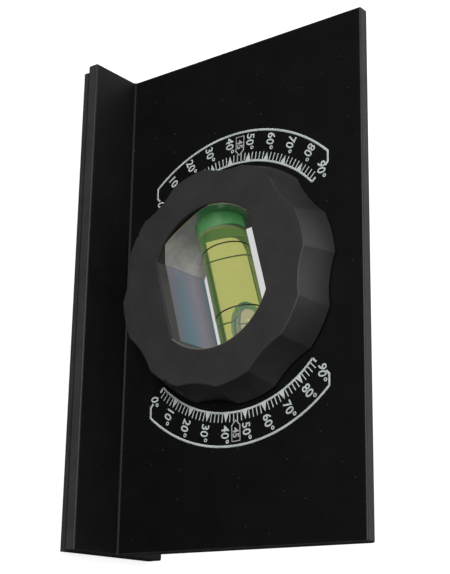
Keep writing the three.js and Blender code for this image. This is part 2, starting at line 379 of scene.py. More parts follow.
def plug_painted_glow(tone):
    """Painted light from the fluid on the green plug: strongest next to the fluid, less so away from it and
    hardly on its face.
    """
    along = out(add(tone.tree, "ShaderNodeSeparateXYZ", Vector=own_place(tone.tree)), "X")
    face = CHAMBER[0]
    reach, skin = 4 * mm, 0.5 * mm
    lit = add(tone.tree, "ShaderNodeMapRange", Value=along, From_Min=face - reach, From_Max=face, To_Max=0.9)
    glow = ramp(out(lit), 0.0, 0.8, (0.012, 0.060, 0.018), (0.050, 0.170, 0.054))
    at_face = along > face - skin
    return blend(at_face, glow, (0.012, 0.032, 0.020))


def window_wall():
    """The window's wall: matte like the face at its top, polished below, with a band of painted shade and a
    fine painted highlight line between them on the arcs. The polished part's colour is painted reflection,
    green over the vial, with painted shade towards its deep end, and painted light lightens the matte band
    under the edge. Lengths here are in mm."""
    material, tree, surface = new_finish("window_wall", Specular_IOR_Level=0.4)
    # These streaks carry painted reflection in their colour.
    streaks = placed(tree, STREAKS_WITH_PAINTED_REFLECTION)
    grain = placed(tree, GRAIN, Grains_per_mm=5.0)
    cloud = placed(tree, GRAIN, Grains_per_mm=0.35, Patch_size=5.0)
    split = add(tree, "ShaderNodeSeparateXYZ", Vector=own_place(tree))
    along, across, depth = (Term(axis) / mm for axis in split.outputs)
    under = KNOB_FACE / mm - depth
    tolerance = 0.1
    on_flat = abs(across) > WINDOW_HALF_WIDTH / mm - tolerance
    on_arc = 1 - on_flat
    near_arc = on_arc * (along < 0)
    far_arc = on_arc - near_arc

    def sloped(slope, zero):
        return (across - zero) * slope

    # Where the matte top band ends: it rises and falls across the near arc, and drops beside the left flat.
    hump = sloped(slope=-0.19, zero=3.5).at_most(sloped(slope=0.22, zero=-10.0))
    band = hump.at_least(0.05).at_most(1.1).at_least(sloped(slope=-0.9, zero=-8.5))
    flat_band = 2.7
    start = near_arc * band + on_flat * flat_band
    polished = soft_step(under, start, width=0.12)

    # The painted highlight line is broader on the middle of the near arc.
    broad = near_arc * (soft_step(across, start=-6.5, width=1.5) - soft_step(across, start=-1.5, width=1.5))
    highlight_width = broad * 0.3 + 0.2
    highlight_strength = near_arc * 0.45 + (broad * 0.25 + 0.25)
    highlight_end = soft_step(under, start + highlight_width, width=0.12)
    line = on_arc * (polished - highlight_end) * highlight_strength

    # The band of painted shade is fainter on the flats, and near the left end of the arc.
    by_corner = soft_step(along * -1, start=3.0, width=2.5)
    flat_painted_shade = by_corner * soft_step(under, start=0.3, width=0.5) * 0.3
    arc_painted_shade = soft_step(across, start=-10.0, width=2.0) * 0.4 + 0.6
    dark = flat_painted_shade * on_flat + near_arc * arc_painted_shade

    # The polished wall's colour is painted reflection: the vial's green over the near arc, a grey cloud on
    # the arc and streaks on the flats.
    by_vial = soft_step(across, start=-1.5, width=1.5) * (1 - soft_step(across, start=5.0, width=3.0))
    vial_reflection_share = near_arc * by_vial * (1 - soft_step(under, start=8.0, width=3.0))
    arc_reflection = ramp(out(cloud, "Tone"), 0.38, 0.62, (0.38, 0.35, 0.38), (0.54, 0.54, 0.51))
    arc_reflection = blend(vial_reflection_share, arc_reflection, (0.12, 0.42, 0.19))
    arc_reflection = blend(far_arc, arc_reflection, (0.11, 0.11, 0.10))
    wall = blend(on_flat, arc_reflection, out(streaks, "Color"))
    # Painted shade darkens the wall towards its deep end.
    deep_painted_shade = soft_step(under, start=11.0, width=3.5) * 0.6
    wall = blend(deep_painted_shade, wall, (0.085, 0.082, 0.082))

    matte = ramp(out(grain, "Tone"), 0.35, 0.65, (0.020, 0.019, 0.019), (0.032, 0.031, 0.031))
    # Below the rounded edge the matte band is lightened by painted light.
    matte = blend(soft_step(under, start=0.25, width=0.2), matte, (0.095, 0.093, 0.093))
    # The near black here is painted shade.
    colour = blend(dark, matte, (0.002, 0.002, 0.002))
    colour = blend(polished, colour, wall)
    # The pale colour along the line is a painted highlight.
    feed(surface.inputs["Base Color"], blend(line, colour, (0.55, 0.50, 0.30)))
    polished_rough = between(out(streaks, "Height"), 0.2, 0.38)
    feed(surface.inputs["Roughness"], between(polished, 0.7, polished_rough))
    bump(surface, streaks.outputs["Height"], 0.15, 0.02 * mm)
    return material


BODY_BLACK = grained(
    "body_black", 3.5, (0.0016, 0.0016, 0.0018), (0.0036, 0.0036, 0.0039), (0.42, 0.58),
    bumps=0.3, dust=0.4, Specular_IOR_Level=0.16,
)
# The rounded edges are lighter: partly wear, partly a painted highlight along them.
BODY_EDGE_WEAR_AND_HIGHLIGHT = grained(
    "body_edge_wear_and_highlight", 3.0, (0.011, 0.011, 0.012), (0.022, 0.022, 0.023), (0.4, 0.55),
    bumps=0.2, Specular_IOR_Level=0.3,
)
# A lighter grey for the plate's top, the foot's front and both ends.
BODY_LIGHTER_FACES = grained(
    "body_lighter_faces", 3.0, (0.026, 0.026, 0.027), (0.046, 0.046, 0.047), (0.45, 0.6),
    bumps=0.3, Specular_IOR_Level=0.3,
)
# The foot's top ledges are a lighter copy of the black: painted light.
BODY_FOOT_PAINTED_LIGHT = grained(
    "body_foot_painted_light", 3.5, (0.0045, 0.0045, 0.0048), (0.009, 0.009, 0.0094), (0.45, 0.62),
    bumps=0.3, dust=0.4, Specular_IOR_Level=0.2,
)
MAGNET = grained(
    "magnet_strip", 2.5, (0.02, 0.019, 0.017), (0.04, 0.038, 0.034), (0.75, 0.95),
    bumps=0.5, Specular_IOR_Level=0.25,
)
DIAL_BLACK = grained(
    "dial_black", 5.0, (0.020, 0.019, 0.019), (0.033, 0.032, 0.032), (0.45, 0.6),
    bumps=0.5, dust=0.25, Specular_IOR_Level=0.4,
)
WINDOW_WALL = window_wall()
SCREW_BLACK = steel("screw_black", (0.035, 0.035, 0.037), (0.07, 0.07, 0.072))
SPRING_STEEL = steel("spring_steel", (0.38, 0.38, 0.39), (0.55, 0.55, 0.56))
VIAL_CLEAR = clear("vial_clear", 0.6, (0.95, 0.98, 0.95), (0.99, 1, 0.98), 0.03, PLASTIC_IOR)
# The fluid takes a painted green glow.
FLUID = clear(
    "vial_fluid", 0.5, (0.78, 0.69, 0.21), (0.83, 0.73, 0.24), 0.02, FLUID_IOR / PLASTIC_IOR,
    glow=fluid_painted_glow,
)
# The bubble's faint blue emission is a painted glow.
BUBBLE_AIR = clear(
    "bubble_air", 0.5, (0.86, 0.78, 0.93), (0.92, 0.84, 0.99), 0.01, 1 / FLUID_IOR,
    Emission_Color=(0.010, 0.010, 0.090, 1), Emission_Strength=1,
)
# The plug takes a painted glow.
PLUG_GREEN = grained(
    "vial_plug", 1.5, (0.040, 0.120, 0.045), (0.060, 0.150, 0.065), (0.35, 0.55),
    tones=(0.3, 0.7), glow=plug_painted_glow,
)
# The pale tan on the plug's rim is a painted highlight.
PLUG_RIM_PAINTED_HIGHLIGHT = grained("plug_rim_painted_highlight", 2.0, (0.45, 0.42, 0.24), (0.62, 0.58, 0.36), (0.35, 0.5), bumps=0.2)
SCALE_INK = printed("scale_ink", (0.36, 0.41, 0.40), (0.56, 0.61, 0.60))
DIM_INK = printed("dim_ink", (0.30, 0.29, 0.31), (0.46, 0.45, 0.47))
RING_INK = printed("ring_ink", (0.04, 0.034, 0.014), (0.022, 0.018, 0.006))


# Meshes: plain building helpers. A build function fills the bmesh that it is given.

def new_object(name, data, *materials):
    made = bpy.data.objects.new(name, data)
    bpy.context.scene.collection.objects.link(made)
    for material in materials:
        data.materials.append(material)
    return made


def built_piece(name, build, *materials):
    """A piece from a build function; its faces point outwards and doubles are merged."""
    work = bmesh.new()
    build(work)
    bmesh.ops.remove_doubles(work, verts=work.verts, dist=0.002 * mm)
    bmesh.ops.recalc_face_normals(work, faces=work.faces)
    mesh = bpy.data.meshes.new(name)
    work.to_mesh(mesh)
    work.free()
    return new_object(name, mesh, *materials)


def evaluated_mesh(item):
    """What an object's modifiers or its font make, as a plain mesh."""
    graph = bpy.context.evaluated_depsgraph_get()
    return bpy.data.meshes.new_from_object(item.evaluated_get(graph), depsgraph=graph)


def bake_modifiers(piece):
    made = evaluated_mesh(piece)
    piece.modifiers.clear()
    made.name = piece.name
    piece.data = made


def set_smooth(piece, angle):
    """Smooth shading that keeps edges over the angle, in degrees, sharp and flat faces flat."""
    piece.data.shade_smooth()
    piece.data.set_sharp_from_angle(angle=math.radians(angle))
    weighted = piece.modifiers.new("weighted", "WEIGHTED_NORMAL")
    weighted.keep_sharp = True
    bake_modifiers(piece)


def cut_with(piece, name, build):
    """Cuts what a build function makes out of a piece."""
    tool = built_piece(name, build)
    cut = piece.modifiers.new("cut", "BOOLEAN")
    cut.object = tool
    cut.solver = "EXACT"
    bake_modifiers(piece)
    bpy.data.objects.remove(tool)


def settle(piece, place, angle):
    """Puts a finished piece in its place, with its faces outwards and its shading set.

    An attribute keeps each point's place in the piece's own frame, for finishes that change along it."""
    spots = piece.data.attributes.new("own_place", "FLOAT_VECTOR", "POINT")
    spots.data.foreach_set("vector", [value for vertex in piece.data.vertices for value in vertex.co])
    piece.data.transform(place)
    work = bmesh.new()
    work.from_mesh(piece.data)
    bmesh.ops.recalc_face_normals(work, faces=work.faces)
    work.to_mesh(piece.data)
    work.free()
    set_smooth(piece, angle)


def cylinder(work, radius, depth, steps, place):
    bmesh.ops.create_cone(
        work, cap_ends=True, segments=steps, radius1=radius, radius2=radius, depth=depth, matrix=place
    )


def revolve(work, profile, steps):
    """Turns (place along X, radius) points into faces. They start and end on the axis, or at one point."""
    rings = []
    for along, radius in profile:
        if radius == 0:
            rings.append([work.verts.new((along, 0, 0))] * steps)
            continue
        turns = [2 * math.pi * k / steps for k in range(steps)]
        rings.append([work.verts.new((along, radius * math.cos(t), radius * math.sin(t))) for t in turns])
    for near, far in zip(rings, rings[1:]):
        for k in range(steps):
            corners = [near[k], near[(k + 1) % steps], far[(k + 1) % steps], far[k]]
            work.faces.new(list(dict.fromkeys(corners)))


def path(name, points, closed=False):
    """A mesh of edges through flat points."""
    mesh = bpy.data.meshes.new(name)
    edges = [(i, i + 1) for i in range(len(points) - 1)]
    if closed:
        edges.append((len(points) - 1, 0))
    mesh.from_pydata([(x, y, 0) for x, y in points], edges, [])
    return mesh


# Geometry Nodes: a small builder, and the trees.

class Tree:
    """A Geometry Nodes tree with named inputs for its sizes, written line by line."""

    def __init__(self, name, sizes, materials):
        self.group = bpy.data.node_groups.new(name, "GeometryNodeTree")
        face = self.group.interface
        face.new_socket("Geometry", in_out="INPUT", socket_type="NodeSocketGeometry")
        for label, value in sizes.items():
            kind = "NodeSocketInt" if isinstance(value, int) else "NodeSocketFloat"
            face.new_socket(label, in_out="INPUT", socket_type=kind).default_value = value
        for label in materials:
            face.new_socket(label, in_out="INPUT", socket_type="NodeSocketMaterial")
        face.new_socket("Geometry", in_out="OUTPUT", socket_type="NodeSocketGeometry")
        self.given = given_to(self.group)

    def node(self, kind, settings=None, **inputs):
        return add(self.group, "GeometryNode" + kind, settings, **inputs)

    def make(self, kind, settings=None, **inputs):
        """The first output of a new node."""
        return out(self.node(kind, settings, **inputs))

    def vector(self, x=0.0, y=0.0, z=0.0):
        return out(add(self.group, "ShaderNodeCombineXYZ", X=x, Y=y, Z=z))

    def parts(self, vector):
        return [Term(axis) for axis in add(self.group, "ShaderNodeSeparateXYZ", Vector=vector).outputs]

    def choose(self, condition, no, yes):
        return self.make("Switch", {"input_type": "FLOAT"}, Switch=condition, **{"False": no, "True": yes})

    def finish(self, geometry, material=None):
        """Ends the tree: copies become real geometry, in one material where it's given."""
        real = self.make("RealizeInstances", Geometry=geometry)
        if material:
            real = self.make("SetMaterial", Geometry=real, Material=material)
        feed(add(self.group, "NodeGroupOutput").inputs[0], real)
        return self.group


def set_mode(node, name):
    """Sets a node's mode, which some versions keep as an input and others as a setting."""
    if "Mode" in node.inputs:
        node.inputs["Mode"].default_value = name
    else:
        node.mode = name.upper().replace(" ", "_")


def grow(name, mesh, group, **values):
    """Runs a tree on a mesh with the given sizes, and keeps the result as a plain mesh."""
    piece = new_object(name, mesh)
    modifier = piece.modifiers.new("shape", "NODES")
    modifier.node_group = group
    named = {key.replace("_", " "): value for key, value in values.items()}
    for item in group.interface.items_tree:
        if item.in_out == "INPUT" and item.name in named:
            modifier[item.identifier] = named[item.name]
    bake_modifiers(piece)
    drop_empty_slots(piece.data)
    return piece


def drop_empty_slots(mesh):
    """Without an empty first slot, faces that a later cut makes take the first finish."""
    for slot in reversed(range(len(mesh.materials))):
        if mesh.materials[slot] is None:
            mesh.materials.pop(index=slot)


def moulding_tree():
    """Sweeps a closed profile (x is the radius, y the depth) round the dial's axis.

    Points near the window follow the window's outline, and the others the fluted rim."""
    tree = Tree(
        "dial_moulding",
        {
            "Steps": 720, "Corner": MOULDED_EDGE, "Corner Points": 4, "Flutes": FLUTES,
            "Rim Radius": KNOB_FOOT_RADIUS, "Flute Depth": FLUTE_DEPTH, "Flute Radius": FLUTE_RADIUS,
            "Window Radius": WINDOW_RADIUS, "Window Half Width": WINDOW_HALF_WIDTH,
        },
        ("Outside", "Window Wall"),
    )
    given, make = tree.given, tree.make
    curve = make("MeshToCurve", Mesh=given["Geometry"])
    share = make("InputNamedAttribute", {"data_type": "FLOAT"}, Name="corner")
    rounded = tree.node("FilletCurve", Curve=curve, Radius=share * given["Corner"], Limit_Radius=True)
    set_mode(rounded, "Poly")
    feed(rounded.inputs["Count"], given["Corner Points"])
    outline = out(rounded)
    count = out(tree.node("AttributeDomainSize", {"component": "CURVE"}, Geometry=outline), "Point Count")
    columns = given["Steps"] + 1
    grid = make("MeshGrid", Vertices_X=count + 1, Vertices_Y=columns)

    index = make("InputIndex")
    row = ((index + 0.5) / columns).floor()
    column = index - row * columns
    spot = make("InputPosition")
    on_profile = make(
        "SampleIndex", {"data_type": "FLOAT_VECTOR"}, Geometry=outline, Value=spot, Index=(row + 0.1) % count
    )
    radius, depth, _ = tree.parts(on_profile)
    turn = column / given["Steps"] * (2 * math.pi)

    never_zero = 0.01
    sine = abs(turn.sine()).at_least(never_zero)
    window = given["Window Radius"].at_most(given["Window Half Width"] / sine)
    from_window = radius - given["Window Radius"]
    inner = window + from_window

    pitch = 2 * math.pi / given["Flutes"]
    middle = ((turn / pitch).floor() + 0.5) * pitch
    off = turn - middle
    reach = given["Rim Radius"] - given["Flute Depth"] + given["Flute Radius"]
    across = reach * off.sine()
    inside = given["Flute Radius"] ** 2 - across ** 2
    sunk = reach * off.cosine() - inside.at_least(0.0).root()
    rim = tree.choose(inside < 0.0, no=sunk.at_most(given["Rim Radius"]), yes=given["Rim Radius"])
    outer = radius * (rim / given["Rim Radius"])

    is_inner = from_window < given["Corner"] * 2.5
    is_wall = from_window < given["Corner"] * 1.02
    away = tree.choose(is_inner, no=outer, yes=inner)
    place = tree.vector(away * turn.cosine(), away * turn.sine(), depth)
    on_wall = make("FieldOnDomain", {"data_type": "BOOLEAN", "domain": "POINT"}, Value=is_wall)

    outside = make("SetMaterial", Geometry=grid, Material=given["Outside"])
    painted = make("SetMaterial", Geometry=outside, Selection=on_wall, Material=given["Window Wall"])
    bent = make("SetPosition", Geometry=painted, Position=place)
    return tree.finish(make("MergeByDistance", Geometry=bent, Distance=0.001 * mm))


def printed_line_tree():
    """A printed line along a path: a flat band of ink with its own width."""
    tree = Tree("printed_line", {"Width": 0.33 * mm, "Ink": INK}, ("Material",))
    given, make = tree.given, tree.make
    curve = make("MeshToCurve", Mesh=given["Geometry"])
    upright = tree.node("SetCurveNormal", Curve=curve)
    set_mode(upright, "Z Up")
    band = make("CurvePrimitiveQuadrilateral", Width=given["Width"], Height=given["Ink"])
    line = make("CurveToMesh", Curve=out(upright), Profile_Curve=band, Fill_Caps=True)
    return tree.finish(line, given["Material"])


def graduations_tree():
    """Marks round an arc: fine ticks, a solid pointer at every tenth degree and a bar at each end."""
    tree = Tree(
        "graduations",
        {
            "Marks": 46, "Marks per Pointer": 5, "Start": SCALE_START, "Step": math.radians(2), "Side": 1.0,
            "Radius": SCALE_RADIUS, "Tick End": TICK_END, "Tick Width": 0.19 * mm, "Pointer Width": 1.25 * mm,
            "End Width": 0.4 * mm, "End Length": 1.1 * mm, "Ink": INK,
        },
        ("Material",),
    )
    given, make = tree.given, tree.make
    row = make("MeshLine", {"mode": "OFFSET"}, Count=given["Marks"])
    index = make("InputIndex")
    turn = given["Start"] + index * given["Step"]
    along = turn.cosine() * given["Side"]
    length = given["Tick End"] - given["Radius"]
    middle = given["Radius"] + length * 0.5
    spots = make("SetPosition", Geometry=row, Position=tree.vector(along * middle, turn.sine() * middle))
    aim = tree.vector(z=turn.sine().arctan2(along))

    def bar(width, reach):
        """A bar that starts at the base line, centred where the marks are set."""
        box = make("MeshCube", Size=tree.vector(reach, width, given["Ink"]))
        return make("SetPosition", Geometry=box, Offset=tree.vector((reach - length) * 0.5))

    def pointer():
        """A triangle that narrows away from the base line."""
        size = 1 * mm
        cone = make("MeshCone", Vertices=3, Radius_Bottom=size, Radius_Top=size, Depth=given["Ink"])
        x, y, z = tree.parts(make("InputPosition"))
        is_apex = y > size / 2
        reach = tree.choose(is_apex, no=length * -0.5, yes=length * 0.5)
        side = x.sign() * (given["Pointer Width"] * 0.5)
        shaped = tree.vector(reach, tree.choose(is_apex, no=side, yes=0.0), z)
        return make("SetPosition", Geometry=cone, Position=shaped)

    left_over = index % given["Marks per Pointer"]
    is_end = (index < 0.5) + (index > given["Marks"] - 1.5)
    join = tree.node("JoinGeometry")
    for shape, chosen in (
        (bar(given["Tick Width"], length), left_over > 0.5),
        (bar(given["End Width"], given["End Length"]), is_end),
        (pointer(), (left_over < 0.5) * (1 - is_end)),
    ):
        marks = make("InstanceOnPoints", Points=spots, Selection=chosen, Instance=shape, Rotation=aim)
        feed(join.inputs[0], marks)
    return tree.finish(out(join), given["Material"])


def screw_ring_tree():
    """Sets copies of one screw in pairs, beside the window's flats."""
    sizes = {"Circle": SCREW_CIRCLE, "Spread": SCREW_SPREAD, "Slot Turn": 1.3}
    tree = Tree("screw_ring", sizes, ("Material",))
    given, make = tree.given, tree.make
    row = make("MeshLine", {"mode": "OFFSET"}, Count=4)
    index = make("InputIndex")
    pair = ((index + 0.5) / 2).floor()
    swing = (index - pair * 2) * 2 - 1
    turn = (0.5 - pair) * math.pi + swing * given["Spread"]
    place = tree.vector(given["Circle"] * turn.cosine(), given["Circle"] * turn.sine())
    spots = make("SetPosition", Geometry=row, Position=place)
    aim = tree.vector(z=index * given["Slot Turn"])
    screws = make("InstanceOnPoints", Points=spots, Instance=given["Geometry"], Rotation=aim)
    return tree.finish(screws, given["Material"])


# Body.

def root_arc(y, bend, steps=5):
    """The points of the fillet between the foot and one side of the plate."""
    turns = [math.pi / 2 * k / steps for k in range(steps + 1)]
    return [
        (y + bend * ROOT_FILLET * (1 - math.sin(t)), FOOT_TOP + ROOT_FILLET * (1 - math.cos(t)))
        for t in turns
    ]


def tee_body():
    """The tee section drawn along X, with rounded edges, and with the dial's bore cut through the plate."""
    materials = (BODY_BLACK, BODY_EDGE_WEAR_AND_HIGHLIGHT, BODY_LIGHTER_FACES, BODY_FOOT_PAINTED_LIGHT)
    front, rear = -FOOT_DEPTH / 2, FOOT_DEPTH / 2
    section = [(front, FOOT_BOTTOM), (rear, FOOT_BOTTOM), (rear, FOOT_TOP)]
    section += root_arc(PLATE_REAR, 1)
    section += [(PLATE_REAR, BODY_HEIGHT), (PLATE_FRONT, BODY_HEIGHT)]
    section += root_arc(PLATE_FRONT, -1)[::-1]
    section += [(front, FOOT_TOP)]

    def finish_of(one, other):
        """The finish of the side that is drawn from the line between two points of the section."""
        depths, heights = zip(one, other)
        # The plate's top, the foot's front and the ends take the lighter grey.
        if min(heights) == BODY_HEIGHT or max(depths) == front:
            return BODY_LIGHTER_FACES
        # The foot's top ledges take the lighter copy: painted light.
        if min(heights) == FOOT_TOP and max(heights) == FOOT_TOP:
            return BODY_FOOT_PAINTED_LIGHT
        return BODY_BLACK

    def build(work):
        near = [work.verts.new((-BODY_LENGTH / 2, y, z)) for y, z in section]
        far = [work.verts.new((BODY_LENGTH / 2, y, z)) for y, z in section]
        for i in range(len(section)):
            j = (i + 1) % len(section)
            side = work.faces.new((near[i], near[j], far[j], far[i]))
            side.material_index = materials.index(finish_of(section[i], section[j]))
        for end in (near, far):
            work.faces.new(end).material_index = materials.index(BODY_LIGHTER_FACES)
        work.normal_update()
        bmesh.ops.recalc_face_normals(work, faces=work.faces)
        least_angle = math.radians(60)
        sharp = [edge for edge in work.edges if edge.calc_face_angle() > least_angle]
        # The bevel faces take the lighter edge colour: partly wear, partly painted highlight.
        bmesh.ops.bevel(
            work, geom=sharp, offset=BODY_EDGE, segments=3, profile=0.5, affect="EDGES",
            material=materials.index(BODY_EDGE_WEAR_AND_HIGHLIGHT),
        )

    def bore(work):
        place = Matrix.Translation((0, (PLATE_FRONT + PLATE_REAR) / 2, DIAL_HEIGHT))
        place = place @ Matrix.Rotation(math.pi / 2, 4, "X")
        cylinder(work, BORE_RADIUS, depth=6 * mm, steps=180, place=place)

    body = built_piece("tee_body", build, *materials)
    cut_with(body, "bore_tool", bore)
    set_smooth(body, angle=35)
    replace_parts(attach(body, "base"), "body")


# Dial.

def profile_path(name, corners):
    """A closed profile through (radius, depth, roundness) points. Roundness is a share of the corner."""
    mesh = path(name, [(x, y) for x, y, _ in corners], closed=True)
    roundness = mesh.attributes.new("corner", "FLOAT", "POINT")
    roundness.data.foreach_set("value", [share for _, _, share in corners])
    return mesh


def vial_pocket(work):
    end, radius = VIAL_HALF_LENGTH + POCKET_END_ROOM, VIAL_RADIUS + POCKET_ROOM
    revolve(work, [(-end, 0), (-end, radius), (end, radius), (end, 0)], steps=64)
    bmesh.ops.translate(work, verts=work.verts, vec=(0, 0, VIAL_DEPTH))


def index_grooves(work):
    """Two slim bars that leave the index grooves down the knob's wall."""
    radius, depth = (KNOB_FOOT_RADIUS + KNOB_FACE_RADIUS) / 2, (KNOB_FOOT + KNOB_FACE) / 2
    lean = math.atan2(KNOB_FOOT_RADIUS - KNOB_FACE_RADIUS, KNOB_FACE - KNOB_FOOT)
    on_wall = Matrix.Translation((radius, 0, depth)) @ Matrix.Rotation(-lean, 4, "Y")
    size = Matrix.Diagonal((INDEX_WIDTH, INDEX_WIDTH, INDEX_LENGTH, 1))
    for turn in INDEX_TURNS:
        bmesh.ops.create_cube(work, size=1, matrix=Matrix.Rotation(turn, 4, "Z") @ on_wall @ size)


def screw_sinks(work):
    for side in (math.pi / 2, -math.pi / 2):
        for turn in (side - SCREW_SPREAD, side + SCREW_SPREAD):
            centre = (SCREW_CIRCLE * math.cos(turn), SCREW_CIRCLE * math.sin(turn), HUB_REAR)
            cylinder(work, SINK_RADIUS, depth=2 * SINK_DEPTH, steps=48, place=Matrix.Translation(centre))


def dial_mouldings():
    tree = moulding_tree()
    knob_profile = profile_path("knob_profile", [
        (WINDOW_RADIUS, KNOB_FOOT, 0), (KNOB_FOOT_RADIUS, KNOB_FOOT, 0.6),
        (KNOB_FACE_RADIUS, KNOB_FACE, 1), (WINDOW_RADIUS, KNOB_FACE, 1),
    ])
    knob = grow("fluted_knob", knob_profile, tree, Outside=DIAL_BLACK, Window_Wall=WINDOW_WALL)
    cut_with(knob, "pocket_tool", vial_pocket)
    cut_with(knob, "index_tool", index_grooves)
    settle(knob, dial_place, angle=22)
    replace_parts(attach(knob, "dial"), "dial_knob")

    hub_profile = profile_path("hub_profile", [
        (WINDOW_RADIUS, HUB_REAR, 1), (FLANGE_RADIUS, HUB_REAR, 2), (FLANGE_RADIUS, FLANGE_FRONT, 1),
        (HUB_RADIUS, FLANGE_FRONT, 0.5), (HUB_RADIUS, KNOB_FOOT, 0), (WINDOW_RADIUS, KNOB_FOOT, 0),
    ])
    hub = grow(
        "rear_moulding", hub_profile, tree,
        Outside=DIAL_BLACK, Window_Wall=WINDOW_WALL, Flute_Depth=0.0, Rim_Radius=FLANGE_RADIUS,
    )
    cut_with(hub, "pocket_tool", vial_pocket)
    cut_with(hub, "sink_tool", screw_sinks)
    settle(hub, dial_place, angle=30)
    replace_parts(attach(hub, "dial"), "dial_hub")


def hub_screws():
    top = SCREW_SEAT - SCREW_HEAD
    tip = SCREW_SEAT + SCREW_LENGTH

    rounded_edge = [
        (top, SCREW_HEAD_RADIUS - 0.45 * mm),
        (top + 0.12 * mm, SCREW_HEAD_RADIUS - 0.15 * mm),
        (top + 0.35 * mm, SCREW_HEAD_RADIUS),
    ]
    under_head = [(SCREW_SEAT, SCREW_HEAD_RADIUS), (SCREW_SEAT, SCREW_RADIUS)]
    point = [(tip - SCREW_RADIUS, SCREW_RADIUS), (tip, 0)]

    def build(work):
        revolve(work, [(top, 0), *rounded_edge, *under_head, *point], steps=48)
        bmesh.ops.rotate(work, verts=work.verts, matrix=Matrix.Rotation(-math.pi / 2, 3, "Y"))

    def slot(work):
        size = Matrix.Diagonal((*SLOT_SIZE, 1))
        bmesh.ops.create_cube(work, size=1, matrix=Matrix.Translation((0, 0, top)) @ size)

    screw = built_piece("screw_unit", build)
    cut_with(screw, "slot_tool", slot)
    mesh = screw.data
    bpy.data.objects.remove(screw)
    screws = grow("hub_screws", mesh, screw_ring_tree(), Material=SCREW_BLACK)
    settle(screws, dial_place, angle=30)
    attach(screws, "dial")
    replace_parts(screws, "hub_screw_1", "hub_screw_2", "hub_screw_3", "hub_screw_4")


# Spirit vial.

def bore_at(along):
    """The barrel's bore is widest at its middle, so that the bubble settles."""
    share = along / CHAMBER[1]
    return BORE_MIDDLE - (BORE_MIDDLE - BORE_END) * min(share * share, 1)


def vial_piece(name, profile, steps, material, node, body="dial", lift=0.0, angle=40, lean_from=None):
    """A body of revolution in the vial's frame. Between a given place and the fluid's start it may lean."""
    def build(work):
        revolve(work, profile, steps)
        for vertex in work.verts:
            if lean_from is not None and lean_from < vertex.co.x < CHAMBER[0] + LEAN_EDGE:
                vertex.co.x += PLUG_LEAN * vertex.co.y
            vertex.co.y += lift
    piece = built_piece(name, build, material)
    settle(piece, vial_place, angle)
    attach(piece, body)
    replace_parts(piece, node)
    return piece


def barrel_ring(number, place):
    """A fine dark ring of ink round the barrel."""
    def band(work):
        start, end = place - RING_WIDTH / 2, place + RING_WIDTH / 2
        low, high = VIAL_RADIUS - 0.01 * mm, VIAL_RADIUS + INK
        revolve(work, [(start, low), (start, high), (end, high), (end, low), (start, low)], VIAL_STEPS)
    ring = built_piece(f"vial_line_{number}", band, RING_INK)
    settle(ring, vial_place, angle=40)
    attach(ring, "dial")


def spirit_vial():
    half, rim = VIAL_HALF_LENGTH, PLUG_RIM_SIZE
    shoulder = half - VIAL_CHAMFER
    vial_piece("vial_barrel", [
        (-half, 0), (-half, VIAL_RADIUS - VIAL_CHAMFER), (-shoulder, VIAL_RADIUS),
        (shoulder, VIAL_RADIUS), (half, VIAL_RADIUS - VIAL_CHAMFER), (half, 0),
    ], VIAL_STEPS, VIAL_CLEAR, "vial_tube")

    start, end = CHAMBER
    steps = 24
    places = [start + (end - start) * k / steps for k in range(steps + 1)]
    filling = [(start, 0)] + [(x, bore_at(x)) for x in places] + [(end, 0)]
    vial_piece(
        "vial_filling", filling, VIAL_STEPS, FLUID, "vial_fluid", lean_from=start - LEAN_EDGE
    )

    face, tail = start - PLUG_GAP, -half + rim
    stopper = [(tail, 0), (tail, BORE_END - rim), (tail + rim, BORE_END), (face - rim, BORE_END)]
    stopper += [(face, BORE_END - rim), (face, 0)]
    plug = vial_piece(
        "vial_stopper", stopper, INNER_STEPS, PLUG_GREEN, "vial_plug",
        lean_from=face - PLUG_LEAN_DEPTH,
    )
    # The row at the plug's rim takes the painted highlight.
    plug.data.materials.append(PLUG_RIM_PAINTED_HIGHLIGHT)
    rim_row = stopper.index((face - rim, BORE_END))
    for polygon in plug.data.polygons[rim_row * INNER_STEPS:(rim_row + 1) * INNER_STEPS]:
        polygon.material_index = 1

    near, far = BUBBLE
    middle, half_length = (near + far) / 2, (far - near) / 2
    rows = 32
    turns = [math.pi * k / rows for k in range(1, rows)]
    rounds = [(middle - half_length * math.cos(t), BUBBLE_RADIUS * math.sin(t)) for t in turns]
    vial_piece(
        "air_bubble", [(near, 0), *rounds, (far, 0)], INNER_STEPS, BUBBLE_AIR, "vial_bubble",
        body="bubble", lift=BUBBLE_LIFT, angle=60,
    )
    for number, place in enumerate(RING_PLACES, 1):
        barrel_ring(number, place)


# Printed scales.

def arc(radius, start, end, side, steps):
    turns = [start + (end - start) * k / steps for k in range(steps + 1)]
    return [(side * radius * math.cos(t), radius * math.sin(t)) for t in turns]


def label(text, height):
    """Flat text, bold by a little, with digits of a given height."""
    curve = bpy.data.curves.new("label", "FONT")
    curve.body = text
    curve.size = height / DIGIT_SHARE_OF_FONT
    curve.offset = LABEL_BOLD
    curve.extrude = INK / 2
    curve.resolution_u = 3
    holder = new_object("label", curve)
    mesh = evaluated_mesh(holder)
    bpy.data.objects.remove(holder)
    return mesh


def span(mesh):
    xs = [v.co.x for v in mesh.vertices]
    ys = [v.co.y for v in mesh.vertices]
    return min(xs), max(xs), min(ys), max(ys)


def move(mesh, x, y):
    mesh.transform(Matrix.Translation((x, y, 0)))


